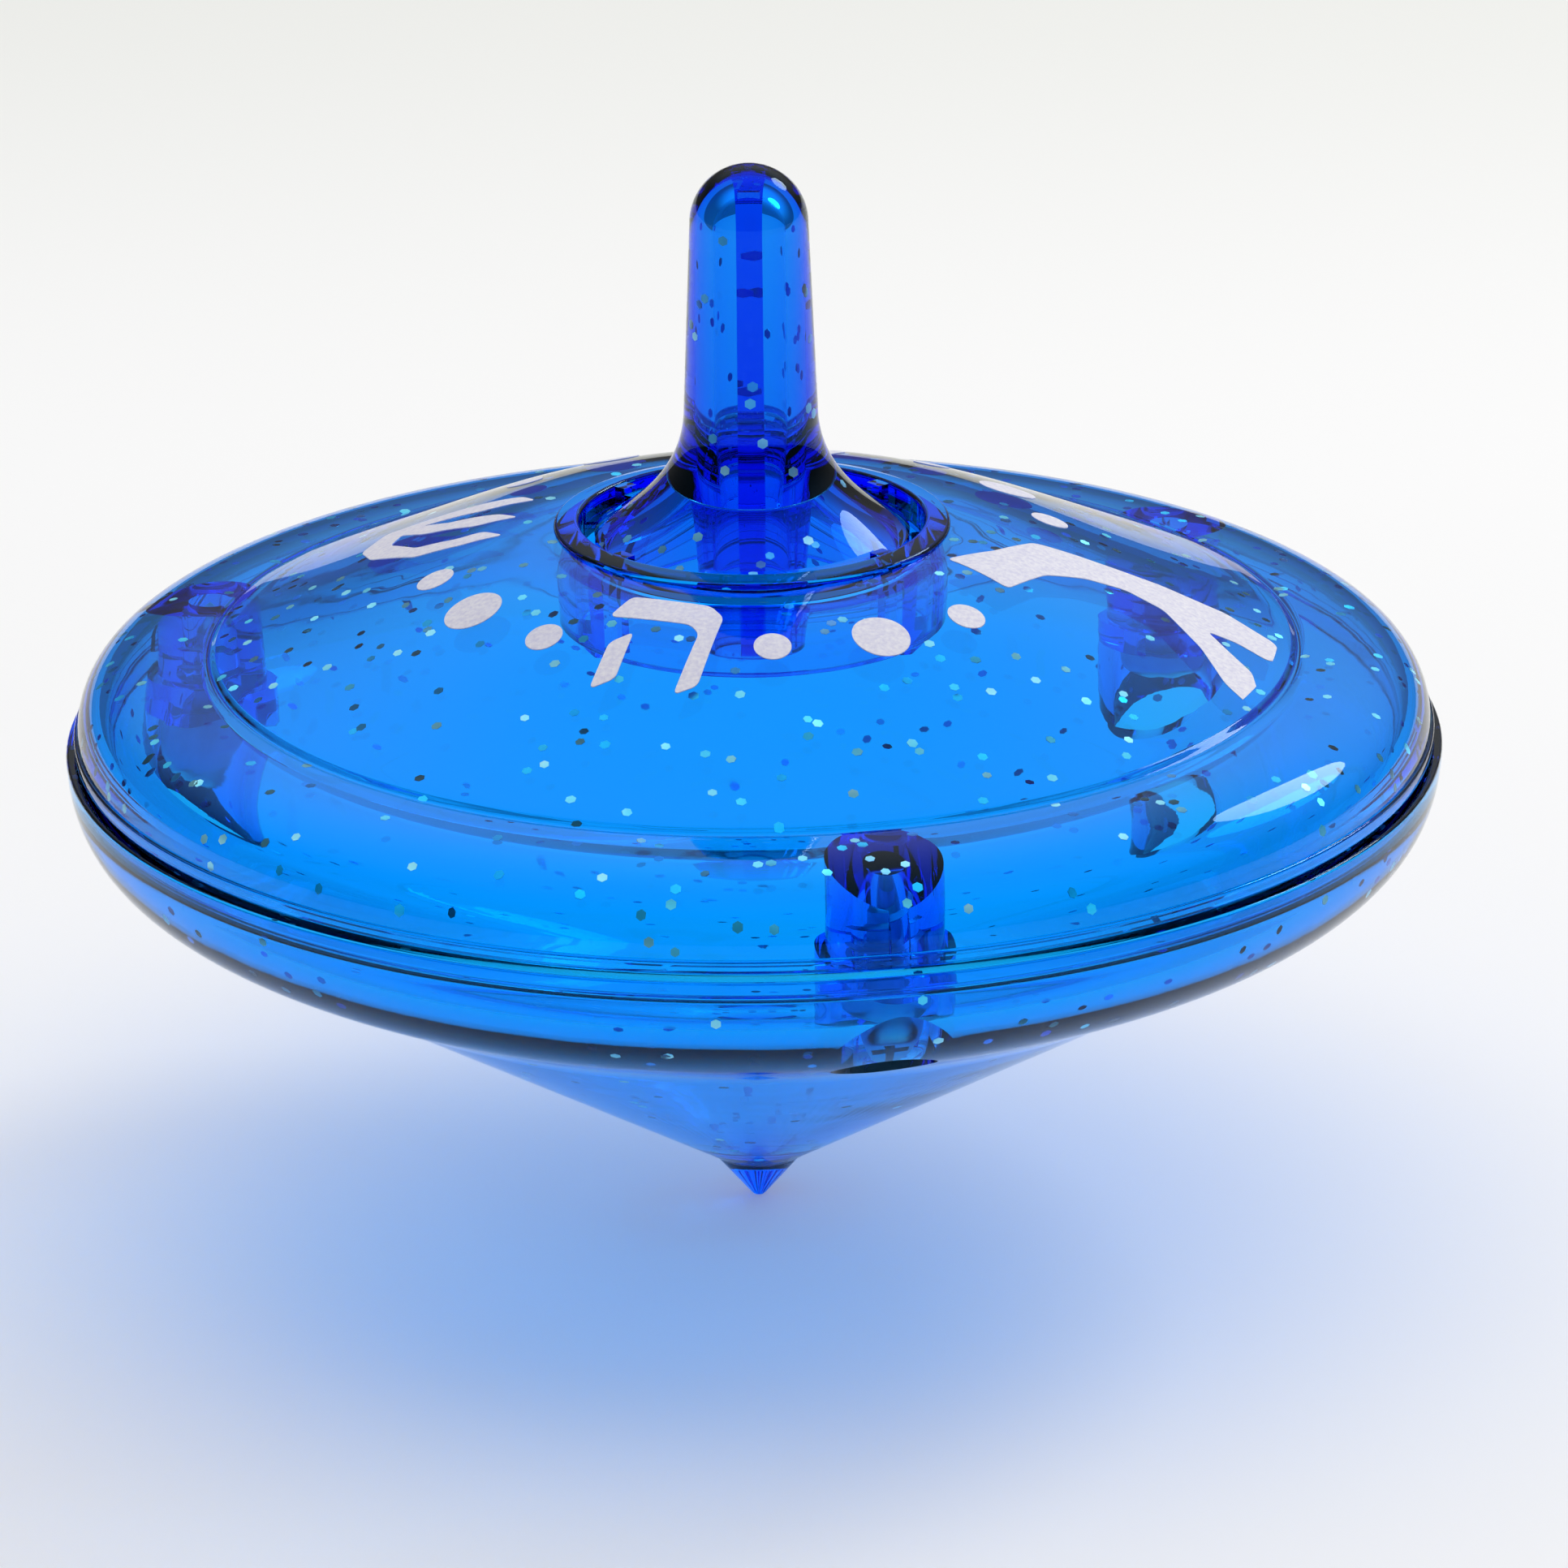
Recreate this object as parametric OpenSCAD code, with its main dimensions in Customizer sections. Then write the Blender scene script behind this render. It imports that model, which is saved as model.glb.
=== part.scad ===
// Flying-saucer dreidel: two clear moulded shells screwed together, with a finger stem
// that clips into a well in the upper one. Millimetres. The tip stands on the origin
// and the spin axis is +Z.

/* [Lower shell] */
// Diameter across the lip, the widest line of the body
body_d = 75; // [68:0.5:84]
// Height of the lip's top edge above the floor
lip_z = 27.3; // [25:0.1:30]
// Wall thickness of both shells
wall = 1.8; // [1.4:0.1:2.2]
// Diameter at which the straight cone turns into the belly
cone_d = 52; // [44:0.5:56]
// Slope of the cone, in degrees from level
cone_slope = 31.5; // [28:0.5:33]
// Diameter of the tip where it leaves the cone
tip_base_d = 5; // [4:0.1:6]
// Height of the tip
tip_h = 2.6; // [2:0.1:3.2]
// Diameter of the flat land that the tip stands on
tip_land_d = 1; // [0.6:0.1:1.6]
// Diameter of the level floor inside, over the tip
floor_pad_d = 6; // [5:0.1:8]

/* [Seam] */
// Open line between the two shells
seam_gap = 0.25; // [0.15:0.05:0.4]
// Thickness of the lip outside the tongue
lip_t = 1.2; // [1:0.05:1.3]
// Thickness of the upper shell's tongue
tongue_t = 0.8; // [0.6:0.05:1]
// Depth of the tongue below the seam
tongue_h = 1.5; // [1:0.1:2]
// Clearance between pieces that slide into each other
fit_gap = 0.1; // [0.06:0.02:0.14]

/* [Upper shell] */
// How far the bead at the seam stands inside the lip
bead_inset = 0.45; // [0.3:0.05:0.6]
// Height of that bead
bead_h = 0.75; // [0.5:0.05:1]
// How far the bead stands out from the shoulder above it
bead_step = 0.2; // [0.1:0.05:0.3]
// Height of the shoulder's crown above the lip
shoulder_h = 5.1; // [4.6:0.1:6]
// Outer diameter of the ring groove that divides shoulder and dome
groove_d = 59.8; // [56:0.2:62]
// Width of the ring groove
groove_w = 0.7; // [0.5:0.1:1.2]
// Depth of the ring groove below the shoulder
groove_depth = 0.1; // [0.05:0.05:0.3]
// Rise of the dome's edge above the shoulder
dome_edge_h = 0.4; // [0.2:0.05:0.8]
// Slope of the dome at its edge, in degrees from level
dome_slope = 22; // [18:0.5:25]
// Height of the rim round the well above the shoulder
rim_h = 7.3; // [6.5:0.1:8]
// Outer diameter of that rim
rim_d = 21.5; // [20.9:0.1:23]
// Height of the rim above the dome
rim_step = 0.5; // [0.3:0.05:0.8]
// Fall of the rim's top towards its outer edge
rim_fall = 0.25; // [0.1:0.05:0.4]
// Diameter of the well
well_d = 18.7; // [18:0.1:19]
// Depth of the collar that lines the well
collar_h = 6.2; // [5.6:0.1:6.8]
// Wall thickness of the collar
collar_t = 0.95; // [0.8:0.05:1.1]

/* [Screw columns] */
// Distance from the lip in to the screw axes
screw_inset = 6; // [5.8:0.1:7]
// Direction of the first screw, in degrees from +X
screw_angle = -78; // [-180:1:180]
// Diameter of the upper shell's columns
column_d = 6.1; // [5.4:0.1:6.6]
// Distance from the lip's top edge down to where the columns meet
column_drop = 0.6; // [0.3:0.1:1]
// Plastic left over the blind pilot hole
roof_t = 1.3; // [1.1:0.1:1.5]
// Diameter of the pilot hole
pilot_d = 2.2; // [2:0.05:2.5]
// Diameter of the socket that takes the screw's head
socket_d = 5.6; // [5.3:0.1:5.8]
// Wall thickness round that socket
socket_t = 0.8; // [0.6:0.05:0.9]
// Thickness of the web that the screw's head pulls on
seat_t = 1.8; // [1.4:0.1:2.2]
// Diameter of the clearance hole through that web
hole_d = 2.9; // [2.7:0.1:3.2]
// Thickness of the ribs that tie the columns to the wall
rib_t = 1; // [0.8:0.1:1.2]

/* [Screws] */
// Diameter of the pan head
head_d = 4.8; // [4.4:0.1:5]
// Height of the pan head
head_h = 1.7; // [1.4:0.1:2]
// Width of one arm of the cross recess
recess_w = 0.7; // [0.5:0.05:0.9]
// Length of the cross recess from end to end
recess_l = 2.8; // [2.4:0.1:3.2]
// Depth of the cross recess
recess_h = 1; // [0.8:0.05:1.2]
// Length of the screw's point
point_h = 1; // [0.6:0.1:1.4]

/* [Stem] */
// Height of the stem above the rim
stem_h = 19.8; // [16:0.1:24]
// Diameter of the shaft where its round end begins
stem_top_d = 6.4; // [5.6:0.1:7]
// Diameter of the shaft where the flare begins
stem_root_d = 7.25; // [6.6:0.05:8]
// Height above the rim at which the flare begins
flare_h = 6.3; // [5:0.1:8]
// Height of the flare's lower edge above the rim
flare_edge_h = 0.5; // [0.2:0.05:0.8]
// Diameter of the short skirt below the flare
skirt_d = 14; // [13:0.1:14.4]
// Wall thickness of the flare and its skirt
skirt_t = 1; // [0.8:0.05:1.2]
// Diameter of the spigot where it leaves the flare's underside
spigot_d = 6.5; // [6:0.1:6.8]
// Diameter of the spigot's foot
spigot_foot_d = 5.5; // [5.2:0.1:6]
// Depth of the spigot's foot below the rim
spigot_h = 7.5; // [6.8:0.1:8]
// Diameter of the bore, at the spigot's foot
core_d = 4.1; // [3.6:0.1:4.2]
// Diameter of the bore where its round end begins
core_top_d = 3.9; // [3.4:0.1:4.1]
// Plastic left at the top of the bore
crown_t = 1.6; // [1.2:0.1:2.2]
// Thickness of the web that divides the bore
web_t = 1.2; // [1:0.1:1.8]

/* [Stem clips] */
// Half the angle that each wing covers, in degrees
wing_half_angle = 36; // [32:1:40]
// Half the angle of the notch over the clip, in degrees
notch_half_angle = 24; // [20:1:28]
// Fall of the wing's top below the rim at its outer edge
wing_fall = 0.15; // [0.1:0.05:0.3]
// Thickness of the wing at its outer edge
wing_t = 1.5; // [1.2:0.1:1.8]
// Gap between skirt and clip leg
leg_gap = 0.8; // [0.6:0.05:0.9]
// Thickness of the clip leg
leg_t = 0.7; // [0.6:0.05:0.8]
// Width of the clip leg
leg_w = 3; // [2.4:0.1:3.6]
// How far the barb reaches under the collar
barb_reach = 0.6; // [0.4:0.05:0.7]
// Height of the barb
barb_h = 1.6; // [1.2:0.1:2]
// Thickness of the keys in the collar that stop the wings turning
key_t = 1; // [0.8:0.05:1.2]
// How far ledges and keys stand out from the collar
ledge_w = 0.7; // [0.5:0.05:0.8]
// Height of the ledges that the wings stand on
ledge_h = 1; // [0.8:0.1:1.4]

/* [Hidden] */

screw_count = 3;
curve_steps = 20;
overrun = 1;
$fn = 96;

// Handles of the curves, as shares of the width or height that each one spans
belly_shares = [0.62, 0.61];
shoulder_shares = [0.95, 0.3];
dome_shares = [0.55, 0.28];
groove_shares = [0.45, 0.6];
flare_shares = [0.48, 0.54];
land_round_share = 0.6;
head_round_share = 0.45;

body_r = body_d / 2;
bead_r = body_r - bead_inset;
bead_z = lip_z + seam_gap;
shoulder_r = bead_r - bead_step;
shoulder_z = lip_z + shoulder_h;
rim_z = shoulder_z + rim_h;
rim_r = rim_d / 2;
well_r = well_d / 2;
collar_r = well_r + collar_t;
collar_z = rim_z - collar_h;
rebate_r = body_r - lip_t;
tongue_r = rebate_r - fit_gap;
tongue_z = bead_z - tongue_h;
rebate_z = tongue_z - fit_gap;

cone_r = cone_d / 2;
tip_r = tip_base_d / 2;
land_r = tip_land_d / 2;
cone_z = tip_h + (cone_r - tip_r) * tan(cone_slope);
pad_r = floor_pad_d / 2;
pad_z = tip_h + (pad_r - tip_r) * tan(cone_slope) + wall / cos(cone_slope);

groove_r = groove_d / 2;
dome_r = groove_r - groove_w;
dome_edge_z = shoulder_z + dome_edge_h;
dome_z = rim_z - rim_step;

screw_r = body_r - screw_inset;
join_z = lip_z - column_drop;
seat_z = join_z - seat_t;
pilot_z = shoulder_z - roof_t;
socket_r = socket_d / 2;

stem_z = rim_z + stem_h;
stem_top_r = stem_top_d / 2;
stem_root_r = stem_root_d / 2;
flare_z = rim_z + flare_h;
flare_edge_z = rim_z + flare_edge_h;
skirt_r = skirt_d / 2;
spigot_r = spigot_d / 2;
spigot_z = rim_z - spigot_h;
wing_r = well_r - fit_gap;
wing_z = rim_z - wing_fall;
wing_base_z = wing_z - wing_t;
leg_r = skirt_r + leg_gap + leg_t;
barb_z = collar_z - fit_gap;
key_r = well_r - ledge_w;
key_angle = wing_half_angle + asin((key_t / 2 + fit_gap) / key_r);
plastic = [0.02, 0.3, 1, 0.6];
steel = [0.72, 0.73, 0.75];

// Points of a cubic curve from a to d, drawn towards b and c
function curve(a, b, c, d) = [
    for (i = [0 : curve_steps])
        let (t = i / curve_steps, u = 1 - t)
            u * u * u * a + 3 * u * u * t * b + 3 * u * t * t * c + t * t * t * d
];

// The same points moved by t to the left of their direction of travel
function beside(points, t) = [
    for (i = [0 : len(points) - 1])
        let (
            ahead = points[min(i + 1, len(points) - 1)],
            behind = points[max(i - 1, 0)],
            way = (ahead - behind) / norm(ahead - behind)
        )
            points[i] + t * [-way[1], way[0]]
];

function backwards(points) = [for (i = [len(points) - 1 : -1 : 0]) points[i]];

// Outside of the lower shell, from the cone's end up the belly to the lip
belly = curve(
    [cone_r, cone_z],
    [cone_r + belly_shares[0] * (body_r - cone_r) * cos(cone_slope),
     cone_z + belly_shares[0] * (body_r - cone_r) * sin(cone_slope)],
    [body_r, lip_z - belly_shares[1] * (lip_z - cone_z)],
    [body_r, lip_z]
);

// Outside of the upper shell in three stretches, from the seam in to the rim
shoulder = curve(
    [shoulder_r, bead_z + bead_h],
    [shoulder_r, bead_z + bead_h + shoulder_shares[0] * (shoulder_z - bead_z - bead_h)],
    [groove_r + shoulder_shares[1] * (shoulder_r - groove_r), shoulder_z],
    [groove_r, shoulder_z]
);
groove = curve(
    [groove_r, shoulder_z],
    [groove_r - groove_shares[0] * groove_w, shoulder_z - groove_depth / groove_shares[0]],
    [dome_r + groove_shares[1] * groove_w, shoulder_z - groove_depth],
    [dome_r, dome_edge_z]
);
dome = curve(
    [dome_r, dome_edge_z],
    [dome_r - dome_shares[0] * (dome_r - rim_r) * cos(dome_slope),
     dome_edge_z + dome_shares[0] * (dome_r - rim_r) * sin(dome_slope)],
    [rim_r + dome_shares[1] * (dome_r - rim_r), dome_z],
    [rim_r, dome_z]
);

// Outside of the stem, from the flare's edge up to the round end
flare = curve(
    [skirt_r, flare_edge_z],
    [skirt_r - flare_shares[0] * (skirt_r - stem_root_r),
     flare_edge_z + (1 - flare_shares[0]) * flare_edge_h],
    [stem_root_r, flare_z - flare_shares[1] * (flare_z - flare_edge_z)],
    [stem_root_r, flare_z]
);

module at_screws() {
    for (i = [0 : screw_count - 1])
        rotate(screw_angle + i * 360 / screw_count)
            translate([screw_r, 0, 0])
                children();
}

// The lower shell's outside as a filled solid, used to trim its sockets
module lower_envelope() {
    rotate_extrude()
        polygon(concat(
            [[0, 0], [land_r * land_round_share, 0], [land_r, land_r * (1 - land_round_share)],
             [tip_r, tip_h]],
            belly,
            [[0, lip_z]]
        ));
}

// Inside of the lower shell, with the rebate for the tongue at its top
module lower_hollow() {
    rotate_extrude()
        polygon(concat(
            [[0, pad_z], [pad_r, pad_z]],
            [for (p = beside(belly, wall)) if (p[1] < rebate_z) p],
            [[body_r - wall, rebate_z], [rebate_r, rebate_z], [rebate_r, lip_z + overrun],
             [0, lip_z + overrun]]
        ));
}

module lower_shell() {
    color(plastic)
        difference() {
            union() {
                difference() {
                    lower_envelope();
                    lower_hollow();
                }
                intersection() {
                    at_screws() cylinder(h = join_z, r = socket_r + socket_t);
                    lower_envelope();
                }
            }
            at_screws() {
                cylinder(h = seat_z, r = socket_r);
                cylinder(h = join_z + overrun, d = hole_d);
            }
        }
}

// Section of the upper shell, from the collar's foot round the outside to the tongue and back
module upper_section() {
    polygon(concat(
        [[collar_r, collar_z], [well_r, collar_z], [well_r, rim_z],
         [rim_r, rim_z - rim_fall]],
        backwards(dome),
        backwards(groove),
        backwards(shoulder),
        [[bead_r, bead_z + bead_h], [bead_r, bead_z], [tongue_r, bead_z],
         [tongue_r, tongue_z], [tongue_r - tongue_t, tongue_z],
         [tongue_r - tongue_t, bead_z], [shoulder_r - wall, bead_z]],
        beside(shoulder, wall),
        [for (p = beside(dome, wall)) if (p[0] > collar_r) p],
        [[collar_r, dome_z - wall]]
    ));
}

// Column for one screw, tied to the side wall by a rib
module column() {
    cylinder(h = pilot_z - join_z, d = column_d);
    translate([0, -rib_t / 2, bead_z - join_z])
        cube([shoulder_r - wall / 2 - screw_r, rib_t, pilot_z - wall / 2 - bead_z]);
}

// Ledges and keys on the collar's wall that carry one wing of the stem
module wing_seat() {
    for (side = [-1, 1]) {
        rotate(side > 0 ? notch_half_angle : -wing_half_angle)
            rotate_extrude(angle = wing_half_angle - notch_half_angle)
                translate([key_r, wing_base_z - ledge_h])
                    square([ledge_w + collar_t / 2, ledge_h]);
        rotate(side * key_angle)
            translate([key_r, -key_t / 2, collar_z])
                cube([ledge_w + collar_t / 2, key_t, wing_z - collar_z]);
    }
}

module upper_shell() {
    color(plastic)
        difference() {
            union() {
                rotate_extrude() upper_section();
                translate([0, 0, join_z]) at_screws() column();
                for (turn = [0, 180]) rotate(turn) wing_seat();
            }
            at_screws()
                translate([0, 0, join_z - overrun])
                    cylinder(h = pilot_z - wall / 2 - join_z + overrun, d = pilot_d);
        }
}

// Solid outside of the stem: skirt, flare, tapered shaft and round end
module stem_envelope() {
    end_z = stem_z - stem_top_r;
    rotate_extrude()
        polygon(concat(
            [[0, wing_base_z], [skirt_r, wing_base_z]],
            flare,
            [for (a = [0 : 90 / curve_steps : 90])
                [stem_top_r * cos(a), end_z + stem_top_r * sin(a)]]
        ));
}

// Inside of the bell that flare and skirt make, up to where its wall meets the spigot
bell = [for (p = beside(flare, skirt_t)) if (p[0] < skirt_r - skirt_t && p[0] > spigot_r) p];
bell_z = bell[len(bell) - 1][1];

module bell_hollow() {
    rotate_extrude()
        polygon(concat(
            [[0, wing_base_z - overrun], [skirt_r - skirt_t, wing_base_z - overrun],
             [skirt_r - skirt_t, bell[0][1]]],
            bell,
            [[0, bell_z]]
        ));
}

// Tapered spigot that carries the shaft's walls on down through the bell
module spigot() {
    translate([0, 0, spigot_z])
        cylinder(h = bell_z + skirt_t - spigot_z, d1 = spigot_foot_d, r2 = spigot_r);
}

// Bore of the shaft and spigot: two half-round cores that leave a web across the middle
module stem_bore() {
    core_top_r = core_top_d / 2;
    end_z = stem_z - crown_t - core_top_r;
    difference() {
        rotate_extrude()
            polygon(concat(
                [[0, spigot_z - overrun], [core_d / 2, spigot_z - overrun]],
                [for (a = [0 : 90 / curve_steps : 90])
                    [core_top_r * cos(a), end_z + core_top_r * sin(a)]]
            ));
        translate([-web_t / 2, -core_d, spigot_z - overrun])
            cube([web_t, 2 * core_d, stem_z - spigot_z + overrun]);
    }
}

// One wing with the clip leg under it, on the +X side
module wing() {
    difference() {
        rotate(-wing_half_angle)
            rotate_extrude(angle = 2 * wing_half_angle)
                polygon([[skirt_r - skirt_t / 2, wing_base_z], [wing_r, wing_base_z], [wing_r, wing_z],
                         [skirt_r, flare_edge_z], [skirt_r - skirt_t / 2, flare_edge_z]]);
        rotate(-notch_half_angle)
            rotate_extrude(angle = 2 * notch_half_angle)
                translate([norm([leg_r, leg_w / 2]), wing_base_z - overrun])
                    square([well_r - leg_r, wing_t + 2 * overrun]);
    }
    translate([0, leg_w / 2, 0])
        rotate([90, 0, 0])
            linear_extrude(leg_w)
                polygon([[leg_r - leg_t, wing_base_z + wing_t / 2], [leg_r, wing_base_z + wing_t / 2],
                         [leg_r, barb_z], [well_r + barb_reach, barb_z],
                         [leg_r, barb_z - barb_h], [leg_r - leg_t, barb_z - barb_h]]);
}

module stem() {
    color(plastic)
        difference() {
            union() {
                difference() {
                    stem_envelope();
                    bell_hollow();
                }
                spigot();
                for (turn = [0, 180]) rotate(turn) wing();
            }
            stem_bore();
        }
}

// Pan-head screw with a cross recess, driven up from below
module screw() {
    head_round = head_round_share * head_h;
    shank_r = pilot_d / 2;
    end_z = pilot_z - wall / 2 - fit_gap;
    color(steel)
        difference() {
            rotate_extrude()
                polygon(concat(
                    [[0, seat_z - head_h]],
                    [for (a = [0 : 90 / curve_steps : 90])
                        [head_d / 2 - head_round * (1 - sin(a)), seat_z - head_h + head_round * (1 - cos(a))]],
                    [[head_d / 2, seat_z], [shank_r, seat_z], [shank_r, end_z - point_h], [0, end_z]]
                ));
            for (turn = [0, 90])
                rotate(turn)
                    translate([-recess_l / 2, -recess_w / 2, seat_z - head_h - overrun])
                        cube([recess_l, recess_w, recess_h + overrun]);
        }
}

module screw_at(place) {
    rotate(screw_angle + place * 360 / screw_count)
        translate([screw_r, 0, 0])
            screw();
}

module screw_front() { screw_at(0); }
module screw_right() { screw_at(1); }
module screw_left() { screw_at(2); }

lower_shell();
upper_shell();
stem();
screw_front();
screw_right();
screw_left();
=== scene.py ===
# Saucer-shaped dreidel of clear blue plastic with glitter in it. The sections follow the toy
# as it is put together: lower shell, upper shell, print, stem, screws, then the table.
import math
import random

import bpy
from mathutils import Matrix, Vector


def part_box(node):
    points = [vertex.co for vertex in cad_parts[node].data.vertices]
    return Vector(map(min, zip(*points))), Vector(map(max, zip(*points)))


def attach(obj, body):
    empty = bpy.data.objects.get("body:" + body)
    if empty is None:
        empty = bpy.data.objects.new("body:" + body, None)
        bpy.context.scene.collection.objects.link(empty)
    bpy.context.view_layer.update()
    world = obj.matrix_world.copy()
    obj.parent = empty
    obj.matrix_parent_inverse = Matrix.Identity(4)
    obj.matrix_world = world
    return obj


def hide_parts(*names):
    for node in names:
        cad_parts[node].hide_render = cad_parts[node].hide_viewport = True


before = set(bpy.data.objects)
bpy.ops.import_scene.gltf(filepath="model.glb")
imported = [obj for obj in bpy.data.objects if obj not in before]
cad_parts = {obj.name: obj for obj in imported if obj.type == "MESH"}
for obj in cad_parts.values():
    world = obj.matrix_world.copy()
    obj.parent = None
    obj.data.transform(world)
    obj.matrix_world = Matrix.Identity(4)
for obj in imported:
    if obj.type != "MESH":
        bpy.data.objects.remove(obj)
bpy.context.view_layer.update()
mm = 0.001


# Lower shell: a moulded cone with the spinning tip, a belly and a lip that takes the upper
# shell's tongue. Clear blue acrylic, polished in the mould, with flakes stirred into the
# melt. Three tubes inside guide the screws, whose heads sit in sockets on the underside.
lower_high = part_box("lower_shell")[1]
body_r = lower_high.x / mm
lip_z = lower_high.z / mm
wall = 1.8
cone_r, cone_slope, tip_r, tip_z = 26.0, math.radians(31.5), 2.5, 2.6
cone_z = tip_z + (cone_r - tip_r) * math.tan(cone_slope)
floor_r = 3.0
floor_z = tip_z + (floor_r - tip_r) * math.tan(cone_slope) + wall / math.cos(cone_slope)
rebate_r, rebate_z = body_r - 1.2, lip_z - 1.35
socket_r, socket_wall, seat_z, join_z = 2.8, 0.8, lip_z - 2.4, lip_z - 0.62
hole_r, socket_foot = 1.45, 1
screw_places = []
for node in ("screw_front", "screw_right", "screw_left"):
    low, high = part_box(node)
    screw_places.append((low + high) / 2)


def curve(a, b, c, d, steps=32):
    """Points of a cubic curve from a to d, drawn towards b and c"""
    points = []
    for i in range(steps + 1):
        t = i / steps
        u = 1 - t
        shares = (u ** 3, 3 * u * u * t, 3 * u * t * t, t ** 3)
        points.append(tuple(sum(s * p[k] for s, p in zip(shares, (a, b, c, d))) for k in (0, 1)))
    return points


def beside(points, distance):
    """The same line, moved to the left of its direction of travel"""
    moved = []
    for i, (r, z) in enumerate(points):
        behind, ahead = points[max(i - 1, 0)], points[min(i + 1, len(points) - 1)]
        run, rise = ahead[0] - behind[0], ahead[1] - behind[1]
        length = math.hypot(run, rise)
        moved.append((r - distance * rise / length, z + distance * run / length))
    return moved


def rounded(section):
    """Round the corners of a closed section that give a third number, the length they lose"""
    points = []
    for i, corner in enumerate(section):
        if len(corner) == 2:
            points.append(corner)
            continue
        here = Vector(corner[:2])
        before = here + corner[2] * (Vector(section[i - 1][:2]) - here).normalized()
        after = here + corner[2] * (Vector(section[(i + 1) % len(section)][:2]) - here).normalized()
        points += curve(before, (before + 1.2 * here) / 2.2, (after + 1.2 * here) / 2.2, after, 5)
    return points


def turned(name, section, start=0, sweep=360, steps=192):
    """Turn a section in mm, given as distance from the axis and height, round the spin axis"""
    section = rounded(section)
    bpy.ops.object.select_all(action="DESELECT")
    bpy.ops.mesh.primitive_circle_add(
        vertices=len(section), fill_type="NOTHING" if sweep == 360 else "NGON")
    piece = bpy.context.object
    piece.name = piece.data.name = name
    way = Vector((math.cos(math.radians(start)), math.sin(math.radians(start)), 0))
    for vertex, (r, z) in zip(piece.data.vertices, section):
        vertex.co = r * mm * way + Vector((0, 0, z * mm))
    bpy.ops.object.mode_set(mode="EDIT")
    bpy.ops.mesh.select_all(action="SELECT")
    bpy.ops.mesh.spin(steps=steps, angle=math.radians(sweep), center=(0, 0, 0), axis=(0, 0, 1))
    bpy.ops.mesh.select_all(action="SELECT")
    bpy.ops.mesh.remove_doubles(threshold=1e-6)
    bpy.ops.mesh.delete_loose()
    bpy.ops.mesh.select_all(action="SELECT")
    bpy.ops.mesh.normals_make_consistent(inside=False)
    bpy.ops.object.mode_set(mode="OBJECT")
    return piece


def rods(radius, bottom, top):
    """Three upright rods on the screws' axes, as one tool"""
    made = []
    for place in screw_places:
        bpy.ops.mesh.primitive_cylinder_add(
            vertices=72, radius=radius * mm, depth=(top - bottom) * mm,
            location=(place.x, place.y, (bottom + top) / 2 * mm))
        made.append(bpy.context.object)
    return joined(made)


def joined(made):
    """Join objects into one, with its place in its mesh"""
    bpy.ops.object.select_all(action="DESELECT")
    for part in made:
        part.select_set(True)
    bpy.context.view_layer.objects.active = made[0]
    if len(made) > 1:
        bpy.ops.object.join()
    bpy.ops.object.transform_apply(location=True, rotation=True, scale=True)
    return bpy.context.object


def combine(piece, tool, operation):
    """Add a tool to a piece, cut it away or keep what both share"""
    bpy.ops.object.select_all(action="DESELECT")
    bpy.context.view_layer.objects.active = piece
    step = piece.modifiers.new(operation.lower(), "BOOLEAN")
    step.operation, step.solver, step.object = operation, "EXACT", tool
    bpy.ops.object.modifier_apply(modifier=step.name)
    bpy.data.objects.remove(tool, do_unlink=True)


def finish_piece(piece, material, *nodes):
    """Smooth a finished piece, give it its material and let it stand for its CAD nodes"""
    bpy.ops.object.select_all(action="DESELECT")
    piece.select_set(True)
    bpy.context.view_layer.objects.active = piece
    bpy.ops.object.shade_smooth_by_angle(angle=math.radians(32))
    evened = piece.modifiers.new("evened", "WEIGHTED_NORMAL")
    evened.keep_sharp = True
    bpy.ops.object.modifier_apply(modifier=evened.name)
    piece.data.materials.clear()
    piece.data.materials.append(material)
    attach(piece, "root")
    if nodes:
        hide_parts(*nodes)


def to_linear(code):
    """Linear colour of an sRGB hex value"""
    shares = [int(code[i:i + 2], 16) / 255 for i in (1, 3, 5)]
    return [s / 12.92 if s <= 0.04045 else ((s + 0.055) / 1.055) ** 2.4 for s in shares] + [1]


def add_node(tree, kind, values={}, links={}, **settings):
    """Add one node with its settings, socket values and incoming links"""
    node = tree.nodes.new(kind)
    for name, value in settings.items():
        setattr(node, name, value)
    for name, value in values.items():
        node.inputs[name].default_value = value
    for name, socket in links.items():
        tree.links.new(socket, node.inputs[name])
    return node


def new_material(name):
    """An empty node material with its shader and output, and the piece's own coordinates"""
    material = bpy.data.materials.new(name)
    material.use_nodes = True
    tree = material.node_tree
    shader = tree.nodes["Principled BSDF"]
    place = add_node(tree, "ShaderNodeTexCoord").outputs["Object"]
    return material, tree, shader, place


belly = curve(
    (cone_r, cone_z),
    (cone_r + 0.62 * (body_r - cone_r) * math.cos(cone_slope),
     cone_z + 0.62 * (body_r - cone_r) * math.sin(cone_slope)),
    (body_r, lip_z - 0.61 * (lip_z - cone_z)), (body_r, lip_z))
inside = [p for p in beside(belly, wall) if p[1] < rebate_z - 0.1]
lower_shell = turned("lower_shell_moulding", [
    (0, 0), (0.3, 0), (0.5, 0.2), (tip_r, tip_z, 0.15), *belly[:-1],
    (body_r, lip_z, 0.2), (rebate_r, lip_z, 0.15), (rebate_r, rebate_z),
    (body_r - wall, rebate_z, 0.2), *inside[::-1], (floor_r, floor_z, 0.6), (0, floor_z)])
tubes = rods(socket_r + socket_wall, socket_foot, join_z)
middle = beside(belly, wall / 2)
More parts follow.
